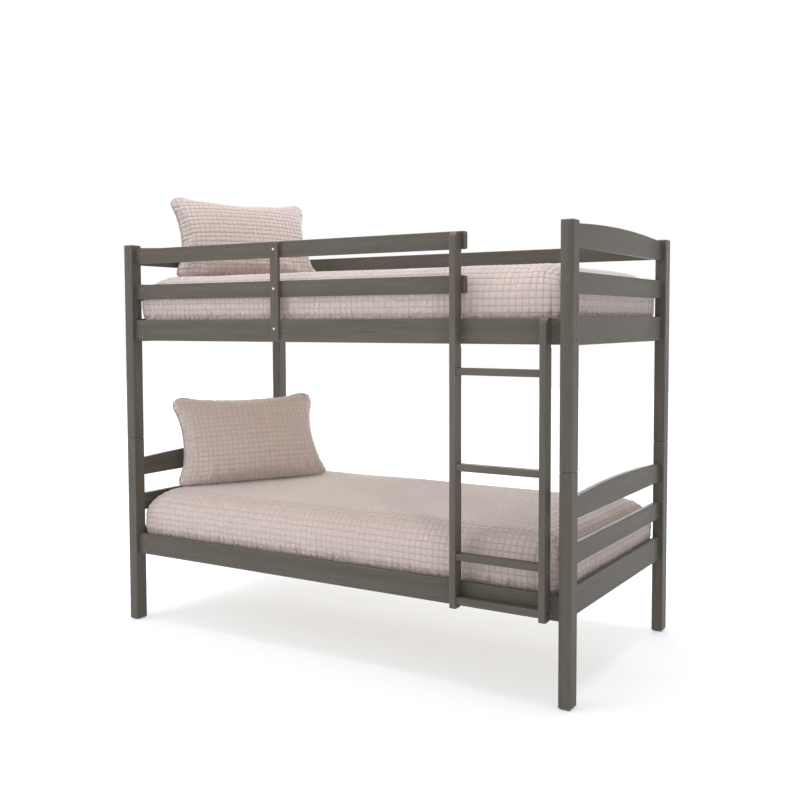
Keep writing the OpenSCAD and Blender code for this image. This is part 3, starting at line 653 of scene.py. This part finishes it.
def pillow(node, body, pose, size, seat, seed):
    """A quilted sham on a pillow, leaning back and slumped onto the coverlet."""
    faces, front, back, u, v = sham_grid(SHAM_COLUMNS, SHAM_ROWS, SHAM_FLAT)
    moved = plump(u, v, front, back)
    moved = settle(moved, inflate(moved, faces))
    span = moved.max(0) - moved.min(0)
    scale = np.array([size[0] / span[0], size[2] / span[1], size[1] / span[2]])
    moved = (moved - (moved.max(0) + moved.min(0)) / 2) * scale
    layers = [slump(upsample(moved[index], SHAM_REFINE), size, seed) for index in (front, back)]
    flat = upsample(np.stack([u, v], -1), SHAM_REFINE)
    columns, rows = layers[0].shape[0] - 1, layers[0].shape[1] - 1
    place, quads, front, back, flats = join_layers(layers, flat, columns, rows)
    normals = point_normals(place, quads)
    inward = rim_distance(columns, rows) * SHAM_FLAT[0] / columns
    height = quilting(flat[..., 0], flat[..., 1]) * SHAM_PUFF * smooth(inward / 0.010)
    at_end = np.abs(flat[..., 0]) / SHAM_FLAT[0] > np.abs(flat[..., 1]) / SHAM_FLAT[1]
    along = np.where(at_end, flat[..., 1], flat[..., 0] + 2.0)
    gather = smooth(inward / 0.006) * np.exp(-inward / 0.035)
    height += gather * SHAM_GATHER * waves(along, inward * 0.2, seed + 6, 0.026, 9)
    puff = np.zeros(len(place))
    for index in (front, back):
        puff[index.ravel()] = height.ravel()
    place += normals * puff[:, None]
    turn = Matrix.Rotation(math.radians(pose["yaw"]), 3, "Z")
    turn = turn @ Matrix.Rotation(math.radians(-pose["tilt"]), 3, "X")
    base = (BED_LEFT + pose["at"][0], BED_FRONT + pose["at"][1], seat - 0.004)
    world = place @ np.array(turn).T + np.array(base)
    world[:, 2] = soft_floor(world[:, 2], seat)
    piece = mesh_object(node + "_sham", world, quads.tolist(), body)
    add_flat_coordinates(piece, flats)
    piece.data.materials.append(QUILT)
    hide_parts(node)
    border = np.concatenate([front[:, 0], front[-1, 1:], front[-2::-1, -1], front[0, -2:0:-1]])
    tube(node + "_piping", world[border], PIPING_RADIUS, body, QUILT_PLAIN)


def slump(grid, size, seed):
    """Lets the filling sink: the lower part is fuller and wider, with pleats near the bottom."""
    x, y, z = grid[..., 0], grid[..., 1], grid[..., 2]
    rise = np.linspace(0, 1, z.shape[1])
    corner = smooth((np.abs(x[:, :1]) - (size[0] / 2 - 0.07)) / 0.07)
    z = z - (z[:, :1] + size[1] / 2) * (1 - corner) * np.clip(1 - rise * 1.6, 0, 1) ** 2
    low = smooth(0.5 - z / size[1])
    sag = low ** 2
    y = y * (1 + 0.16 * low - 0.08 * (1 - low))
    z = z + size[1] / 2
    x = x * (1 + 0.022 * sag + 0.046 * np.exp(-(z / 0.045) ** 2))
    pleat = np.exp(-((z - 0.03) / 0.035) ** 2)
    y = y + np.sign(y) * pleat * SHAM_PLEAT * waves(x, z * 0.4, seed, 0.055)
    y = y + 0.004 * waves(x, z, seed + 1, 0.35) * smooth(np.abs(y) / 0.02)
    return np.stack([x, y, z], -1)


def soft_floor(z, seat):
    """Flattens what would sink under the seat, smoothly."""
    blend = 0.010
    over = z - seat
    return seat + np.where(over > blend, over, blend * np.exp(np.minimum(over - blend, 0) / blend))


def rim_distance(columns, rows):
    i, j = np.meshgrid(np.arange(columns + 1), np.arange(rows + 1), indexing="ij")
    return np.minimum.reduce([i, columns - i, j, rows - j]).astype(float)


def join_layers(layers, flat, columns, rows):
    """Front and back grids as one closed mesh with a shared border."""
    rim = rim_distance(columns, rows)
    inside = rim > 0
    front = np.arange(rim.size).reshape(rim.shape)
    back = front.copy()
    back[inside] = rim.size + np.arange(inside.sum())
    points = np.concatenate([layers[0].reshape(-1, 3), layers[1][inside]])
    flats = np.concatenate([flat.reshape(-1, 2), flat[inside]])
    quads = np.concatenate([quads_of(front), quads_of(back)[:, ::-1]])
    return points, quads, front, back, flats


# ---------------------------------------------------------------- studio

CAMERA_AT = (2.1856, -3.4673, 1.2534)
CAMERA_YAW, CAMERA_PITCH, CAMERA_ROLL = 31.624, -3.239, -0.180
CAMERA_LENS = 45.093
CAMERA_SHIFT = (-0.0010, -0.0267)


def make_camera():
    data = bpy.data.cameras.new("camera")
    data.lens = CAMERA_LENS
    data.sensor_width = 36.0
    data.shift_x, data.shift_y = CAMERA_SHIFT
    camera = bpy.data.objects.new("camera", data)
    camera.location = CAMERA_AT
    turn = Matrix.Rotation(math.radians(CAMERA_YAW), 3, "Z")
    turn = turn @ Matrix.Rotation(math.radians(90 + CAMERA_PITCH), 3, "X")
    turn = turn @ Matrix.Rotation(math.radians(CAMERA_ROLL), 3, "Z")
    camera.rotation_euler = turn.to_euler()
    bpy.context.scene.collection.objects.link(camera)
    bpy.context.scene.camera = camera


def make_floor():
    """A pale matt floor that glows a little more with the distance, so it fades into the white. The glow
    is painted light, which also lightens the floor's shadows.
    """
    corners = [(x * FLOOR_HALF, y * FLOOR_HALF, 0) for x, y in ((-1, -1), (1, -1), (1, 1), (-1, 1))]
    mesh = bpy.data.meshes.new("floor")
    mesh.from_pydata(corners, [], [(0, 1, 2, 3)])
    floor = bpy.data.objects.new("floor", mesh)
    n = Nodes("floor")
    n.set(Base_Color=(0.60, 0.628, 0.665, 1.0), Roughness=0.8, Specular_IOR_Level=0.1)
    centre = n.add("ShaderNodeTexCoord").outputs["Object"]
    away = n.add("ShaderNodeVectorMath", {0: centre}, operation="LENGTH").outputs["Value"]
    # Painted light: the floor glows, less near the bed, so its shadow there stays darker.
    n.set(Emission_Color=WHITE, Emission_Strength=n.span(away, 1.2, 5.5, 0.37, 0.62))
    mesh.materials.append(n.material)
    bpy.context.scene.collection.objects.link(floor)


def area_light(name, place, target, size, power, colour=(1.0, 1.0, 1.0), spread=180.0):
    """A rectangular light aimed at a point. The spread is in degrees."""
    data = bpy.data.lights.new(name, "AREA")
    data.shape = "RECTANGLE"
    data.size, data.size_y = size
    data.energy = power
    data.spread = math.radians(spread)
    data.color = colour
    light = bpy.data.objects.new(name, data)
    light.location = place
    light.rotation_euler = (Vector(target) - Vector(place)).to_track_quat("-Z", "Y").to_euler()
    bpy.context.scene.collection.objects.link(light)


def make_world():
    """White all round, but dimmer and warmer on the side that the ladder end faces."""
    world = bpy.data.worlds.new("studio")
    world.use_nodes = True
    tree = world.node_tree
    sky = tree.nodes["Background"]
    coordinates = tree.nodes.new("ShaderNodeTexCoord")
    split = tree.nodes.new("ShaderNodeSeparateXYZ")
    ramp = tree.nodes.new("ShaderNodeMapRange")
    ramp.interpolation_type = "SMOOTHSTEP"
    ramp.inputs["From Min"].default_value = 0.1
    ramp.inputs["From Max"].default_value = 0.7
    blend = tree.nodes.new("ShaderNodeMix")
    blend.data_type = "RGBA"
    blend.inputs[6].default_value = WHITE
    blend.inputs[7].default_value = (0.70, 0.68, 0.66, 1.0)
    tree.links.new(coordinates.outputs["Generated"], split.inputs[0])
    tree.links.new(split.outputs["X"], ramp.inputs["Value"])
    tree.links.new(ramp.outputs["Result"], blend.inputs[0])
    tree.links.new(blend.outputs[2], sky.inputs["Color"])
    sky.inputs["Strength"].default_value = 1.0
    bpy.context.scene.world = world


def make_lights():
    area_light("key", (-2.8, -4.2, 4.0), (0, 0, 0.8), (3.2, 2.4), 48)
    area_light("front", (-2.2, -4.4, 1.2), (0, 0, 0.6), (3.0, 1.6), 13)
    area_light("fill", (4.4, -2.6, 2.4), (0, 0, 0.8), (2.6, 2.0), 4, (1.0, 0.85, 0.72))
    area_light("glow", (3.0, -2.4, 1.5), (-0.75, 0.0, 0.75), (0.5, 0.5), 0.8, (1.0, 0.93, 0.88), 24.0)
    area_light("top", (0.0, 0.0, 5.2), (0, 0, 0), (4.0, 3.0), 140)
    area_light("back", (-0.2, 3.2, 1.55), (0, 0, 0.5), (3.2, 1.2), 50)
    bpy.context.scene.view_settings.view_transform = "Standard"


# ---------------------------------------------------------------- the bed

make_camera()
make_floor()
make_world()
make_lights()

QUILT = quilt_material("blush_quilt", srgb(193, 178, 173), srgb(182, 166, 160))
QUILT_PLAIN = quilt_material("blush_binding", srgb(186, 170, 165), srgb(174, 158, 152))
TICKING = ticking_material("ticking")

STRINGER_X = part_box("ladder_stringer_left")[1].x
STRIP_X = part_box("guard_support_strip")[1].x
LOWER_CREASES = [STRINGER_X - 0.02]
UPPER_CREASES = [STRIP_X + 0.004, STRINGER_X + 0.012]
BED_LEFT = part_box("lower_post_front_left")[0].x
BED_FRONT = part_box("lower_post_front_left")[0].y
LOWER_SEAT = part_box("lower_pillow")[0].z
UPPER_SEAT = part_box("upper_pillow")[0].z
LOWER_POSE = {"yaw": 62.5, "tilt": 20.5, "at": (0.305, 0.468)}
UPPER_POSE = {"yaw": 68.0, "tilt": 17.0, "at": (0.222, 0.545)}
LOWER_SIZE = (0.66, 0.396, 0.165)
UPPER_SIZE = (0.66, 0.372, 0.165)

dress_cad_nodes()
mattress("lower_mattress", "lower_mattress_set")
mattress("upper_mattress", "upper_mattress_set")
coverlet("lower_coverlet", "lower_side_rail_front", "lower_mattress_set", LOWER_CREASES, 11)
coverlet("upper_coverlet", "upper_side_rail_front", "upper_mattress_set", UPPER_CREASES, 23)
pillow("lower_pillow", "lower_pillow", LOWER_POSE, LOWER_SIZE, LOWER_SEAT, 31)
pillow("upper_pillow", "upper_pillow", UPPER_POSE, UPPER_SIZE, UPPER_SEAT, 37)
